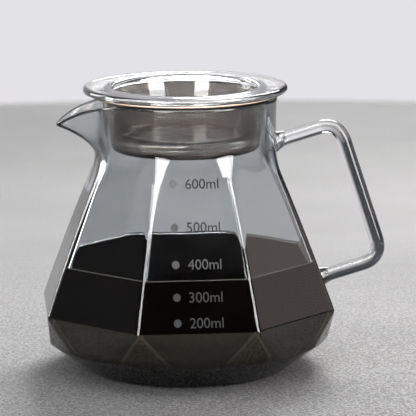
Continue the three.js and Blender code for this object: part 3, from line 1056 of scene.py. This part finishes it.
class CARAFE_OT_sleeve(Operator):
    """Adds the soft sleeve round the lid's plug"""

    bl_idname = "carafe.add_sleeve"
    bl_label = "Sleeve"

    def execute(self, context):
        lid = context.scene.carafe_lid
        p = LidPlaces(context)
        lip_edge = lid.sleeve_lip / 2
        foot = p.sleeve_radius - lid.draft
        corner = foot - lid.sleeve_corner
        hem = foot - lid.sleeve_hem
        hem_edge = lid.sleeve_wall / 2
        bore = p.sleeve_radius - lid.sleeve_wall
        inside = p.sleeve_bottom + lid.sleeve_wall
        seam = p.sleeve_radius + SEAM
        outer_foot = np.array((foot, p.sleeve_bottom + lid.sleeve_corner))
        outer_top = np.array((p.sleeve_radius, p.sleeve_top))
        inner_foot = np.array((foot - lid.sleeve_wall, outer_foot[1]))
        inner_top = np.array((bore, p.sleeve_top))
        steps = np.linspace(0, 1, SLEEVE_ROWS)[1:-1, None]
        tube = path(
            (corner, p.sleeve_bottom),
            bend((corner, p.sleeve_bottom), (foot, p.sleeve_bottom), outer_foot),
            mix(outer_foot, outer_top, steps), outer_top,
            inner_top, mix(inner_top, inner_foot, steps), inner_foot,
            bend(inner_foot, (inner_foot[0], inside), (corner, inside)),
            arc((hem + hem_edge, inside - hem_edge), hem_edge, math.pi / 2, 3 * math.pi / 2),
        )
        lip_centre = (p.lip_radius - lip_edge, p.lip_bottom + lip_edge)
        lip = path(
            (seam, p.lip_bottom),
            arc(lip_centre, lip_edge, -math.pi / 2, math.pi / 2),
            (seam, p.sleeve_top),
        )
        finish = context.scene.carafe_finish
        pieces = (("plug_sleeve", tube, sleeve_material(finish)),
                  ("sleeve_lip", lip, lip_material(finish, p, lid.sleeve_lip)))
        for name, profile, material in pieces:
            piece = add_skin(name, lathe(profile), "lid", [material], loop=True)
            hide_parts("lid_sleeve")
        return {"FINISHED"}


class CARAFE_OT_coffee(Operator):
    """Adds the coffee inside the vessel, with the curved edge that climbs the glass"""

    bl_idname = "carafe.add_coffee"
    bl_label = "Coffee"

    def execute(self, context):
        c = context.scene.carafe_contents
        vessel = Vessel(context.scene.carafe_vessel)
        turns = vessel.columns()
        top = c.coffee_level + c.meniscus
        top_level = vessel.level_of(top)
        wall = vessel.inside_rings(turns, vessel.level_of(top - WALL_STOP), c.soak)[::-1]
        wall.append(vessel.inner_point(turns, vessel.level_of(top - c.film), c.soak))
        edge = vessel.inner_point(turns, top_level, c.soak)
        radius = np.linalg.norm(edge[:, :2], axis=1)
        edge_height = edge[:, 2]
        surface = []
        for inward in MENISCUS_PLACES:
            fall = math.exp(-inward / c.meniscus_width)
            surface.append(polar(radius - inward, turns, mix(c.coffee_level, edge_height, fall)))
        last = radius - MENISCUS_PLACES[-1]
        surface += [polar(last * share, turns, c.coffee_level) for share in SURFACE_SHARES]
        surface.append(on_axis(c.coffee_level))
        rings = wall + surface
        finish = context.scene.carafe_finish
        film = finish.coffee_film_highlight
        materials = [
            low_coffee_material(finish, vessel),
            coffee_material("coffee_surface", rgba(finish.coffee_dark), rgba(finish.coffee_light),
                            gloss=0.0),
            # Painted highlight: the coffee's curved edge is coloured pale, over a real gloss
            coffee_material("coffee_edge_painted_highlight", scaled(film, 0.3), rgba(film), gloss=0.5),
        ]
        piece = add_skin("coffee", rings, "carafe", materials)
        count = len(turns)
        film_start = (len(wall) - 2) * count + 1
        face_start = film_start + (FILM_RINGS + 1) * count
        for polygon in piece.data.polygons:
            first = min(polygon.vertices)
            polygon.material_index = 0 if first < film_start else 2 if first < face_start else 1
        return {"FINISHED"}


class CARAFE_OT_scale(Operator):
    """Adds the printed volume scale, dots and plain numbers on the front facet"""

    bl_idname = "carafe.add_scale"
    bl_label = "Volume scale"

    def label(self, text, width, thickness):
        """Points and faces of a line of text, its left end at the origin."""
        curve = bpy.data.curves.new("label", "FONT")
        curve.body = text
        curve.extrude = thickness
        curve.resolution_u = LETTER_STEPS
        holder = bpy.data.objects.new("label", curve)
        bpy.context.scene.collection.objects.link(holder)
        graph = bpy.context.evaluated_depsgraph_get()
        mesh = bpy.data.meshes.new_from_object(holder.evaluated_get(graph))
        points = np.array([vertex.co[:] for vertex in mesh.vertices])
        faces = [list(polygon.vertices) for polygon in mesh.polygons]
        bpy.data.objects.remove(holder)
        bpy.data.curves.remove(curve)
        bpy.data.meshes.remove(mesh)
        low, high = points.min(axis=0), points.max(axis=0)
        size = width / (high[0] - low[0])
        points[:, 0] = (points[:, 0] - low[0]) * size
        points[:, 1] = (points[:, 1] - (low[1] + high[1]) / 2) * size
        return points, faces

    def dot(self, radius, thickness):
        turns = around(DOT_SIDES)
        low, high = -thickness, thickness
        rings = [on_axis(low), polar(radius, turns, low), polar(radius, turns, high), on_axis(high)]
        return np.concatenate(rings), skin_faces(rings)

    def depth(self, vessel, across, height):
        """Distance from the axis to the front facet."""
        out = vessel.flat_distance(height)
        for _ in range(DEPTH_PASSES):
            turn = np.arctan2(-out, across)
            out = np.sqrt(vessel.outer_radius(turn, height) ** 2 - across**2)
        return out

    def execute(self, context):
        c = context.scene.carafe_contents
        vessel = Vessel(context.scene.carafe_vessel)
        points, faces = [], []
        half = c.print_thickness / 2
        for amount, height in MARKS.items():
            words, word_faces = self.label(f"{amount}ml", c.label_width, half)
            words[:, 0] += c.label_start - c.dot_place
            spot, spot_faces = self.dot(c.dot_radius, half)
            spot[:, 0] -= c.dot_place
            for flat, flat_faces in ((words, word_faces), (spot, spot_faces)):
                start = sum(len(group) for group in points)
                up = height * MM + flat[:, 1]
                out = self.depth(vessel, flat[:, 0], up) + flat[:, 2] + half * PRINT_LIFT
                points.append(np.stack([flat[:, 0], -out, up], axis=-1))
                faces += [[start + corner for corner in face] for face in flat_faces]
        piece = add_piece("volume_scale", np.concatenate(points), faces, "carafe",
                          [enamel_material(context.scene.carafe_finish)])
        piece.data.polygons.foreach_set("use_smooth", [False] * len(piece.data.polygons))
        return {"FINISHED"}


class CARAFE_OT_stage(Operator):
    """Adds the pale floor, soft lamps, backdrop and camera"""

    bl_idname = "carafe.add_stage"
    bl_label = "Stage"

    def lamp(self, name, turn, elevation, distance, width, height, brightness, gloss_only, tint):
        """Soft lamp that faces the object."""
        turn, elevation = math.radians(turn), math.radians(elevation)
        away = Vector((math.sin(turn) * math.cos(elevation), -math.cos(turn) * math.cos(elevation),
                       math.sin(elevation)))
        lamp = bpy.data.lights.new(name, "AREA")
        lamp.shape = "RECTANGLE"
        lamp.color = tint
        lamp.size, lamp.size_y = width, height
        lamp.energy = brightness * math.pi * width * height
        holder = bpy.data.objects.new(name, lamp)
        holder.location = away * distance + Vector((0, 0, LAMP_AIM))
        holder.visible_camera = False
        holder.visible_diffuse = not gloss_only
        holder.rotation_mode = "QUATERNION"
        holder.rotation_quaternion = (-away).to_track_quat("-Z", "Y")
        bpy.context.scene.collection.objects.link(holder)

    def floor(self, studio):
        turns = around(FLOOR_SIDES)
        rings = [on_axis(-FLOOR_DROP)]
        rings += [polar(radius, turns, -FLOOR_DROP) for radius in (*FLOOR_RADII, studio.floor_reach)]
        faces = [face[::-1] for face in skin_faces(rings)]
        piece = add_piece("floor", np.concatenate(rings), faces, None, [floor_material(studio)])

    def backdrop(self, studio):
        world = bpy.data.worlds.new("studio")
        bpy.context.scene.world = world
        sheet = Sheet(world)
        across, depth, height = sheet.axes(sheet.add("ShaderNodeTexCoord").outputs["Generated"])
        behind = sheet.spread(depth, 0.0, 0.5) * (1 - sheet.spread(across, 0.1, 0.35))
        above = sheet.spread(height, 0.45, 0.85)
        top = sheet.spread(height, 0.45, 0.55)
        wings = (sheet.spread(height, -0.12, -0.02) - top) * (1 - sheet.spread(depth, 0.15, 0.55))
        flags = (sheet.spread(height, 0.2, 0.28) - top).at_least(wings)
        sides = sheet.spread(depth, -0.7, 0.0)
        rays = sheet.add("ShaderNodeLightPath").outputs
        backdrop = studio.backdrop
        pale = rgba(backdrop)
        room = sheet.blend(sides, scaled(backdrop, 0.012), scaled(backdrop, 0.2))
        mirrored = sheet.blend(above.at_least(behind), room, pale)
        overhead = sheet.blend(above, pale, scaled(backdrop, 2.0))
        seen_through = sheet.blend(flags, overhead, scaled(backdrop, 0.06))
        glossy = sheet.blend(rays["Is Glossy Ray"], scaled(backdrop, 0.38), mirrored)
        glass = sheet.blend(rays["Is Transmission Ray"], glossy, seen_through)
        shown = sheet.blend(rays["Is Camera Ray"], glass, pale)
        background = sheet.add("ShaderNodeBackground", None, {"Color": shown})
        sheet.add("ShaderNodeOutputWorld", None, {"Surface": background.outputs[0]})

    def camera(self, studio):
        camera = bpy.data.cameras.new("camera")
        camera.lens = studio.lens
        camera.sensor_width = 36.0
        holder = bpy.data.objects.new("camera", camera)
        level, steep = math.cos(studio.elevation), math.sin(studio.elevation)
        away = Vector((-math.sin(studio.turn) * level, -math.cos(studio.turn) * level, steep))
        right = Vector((math.cos(studio.turn), -math.sin(studio.turn), 0.0))
        pivot = Vector((0.0, 0.0, studio.aim_height))
        holder.location = pivot + away * studio.distance
        aim = pivot + right * studio.aim_right + away.cross(right) * studio.aim_up
        holder.rotation_mode = "QUATERNION"
        facing = (aim - holder.location).to_track_quat("-Z", "Y")
        holder.rotation_quaternion = facing @ Quaternion((0.0, 0.0, 1.0), studio.roll)
        bpy.context.scene.collection.objects.link(holder)
        bpy.context.scene.camera = holder

    def execute(self, context):
        studio = context.scene.carafe_studio
        self.floor(studio)
        self.backdrop(studio)
        for name, values in LAMPS.items():
            self.lamp(name, *values)
        self.camera(studio)
        context.scene.view_settings.view_transform = "Standard"
        return {"FINISHED"}


GROUPS = {
    "carafe_vessel": CARAFE_PG_vessel,
    "carafe_handle": CARAFE_PG_handle,
    "carafe_lid": CARAFE_PG_lid,
    "carafe_contents": CARAFE_PG_contents,
    "carafe_finish": CARAFE_PG_finish,
    "carafe_studio": CARAFE_PG_studio,
}
OPERATORS = (CARAFE_OT_body, CARAFE_OT_handle, CARAFE_OT_lid, CARAFE_OT_sleeve, CARAFE_OT_coffee,
             CARAFE_OT_scale, CARAFE_OT_stage)


class CARAFE_PT_builder(Panel):
    """Lists the pieces and their settings"""

    bl_label = "Glass carafe"
    bl_idname = "CARAFE_PT_builder"
    bl_space_type = "VIEW_3D"
    bl_region_type = "UI"
    bl_category = "Carafe"

    def draw(self, context):
        for operator in OPERATORS:
            self.layout.operator(operator.bl_idname)
        for place in GROUPS:
            group = getattr(context.scene, place)
            box = self.layout.box()
            for name in group.__annotations__:
                box.prop(group, name, text=name.replace("_", " ").capitalize())


def register():
    for kind in (*GROUPS.values(), *OPERATORS, CARAFE_PT_builder):
        bpy.utils.register_class(kind)
    for place, kind in GROUPS.items():
        setattr(bpy.types.Scene, place, PointerProperty(type=kind))


def unregister():
    for place in GROUPS:
        delattr(bpy.types.Scene, place)
    for kind in reversed((*GROUPS.values(), *OPERATORS, CARAFE_PT_builder)):
        bpy.utils.unregister_class(kind)


def main():
    register()
    bpy.ops.carafe.add_body()
    bpy.ops.carafe.add_handle()
    bpy.ops.carafe.add_lid()
    bpy.ops.carafe.add_sleeve()
    bpy.ops.carafe.add_coffee()
    bpy.ops.carafe.add_scale()
    bpy.ops.carafe.add_stage()


if __name__ == "__main__":
    main()
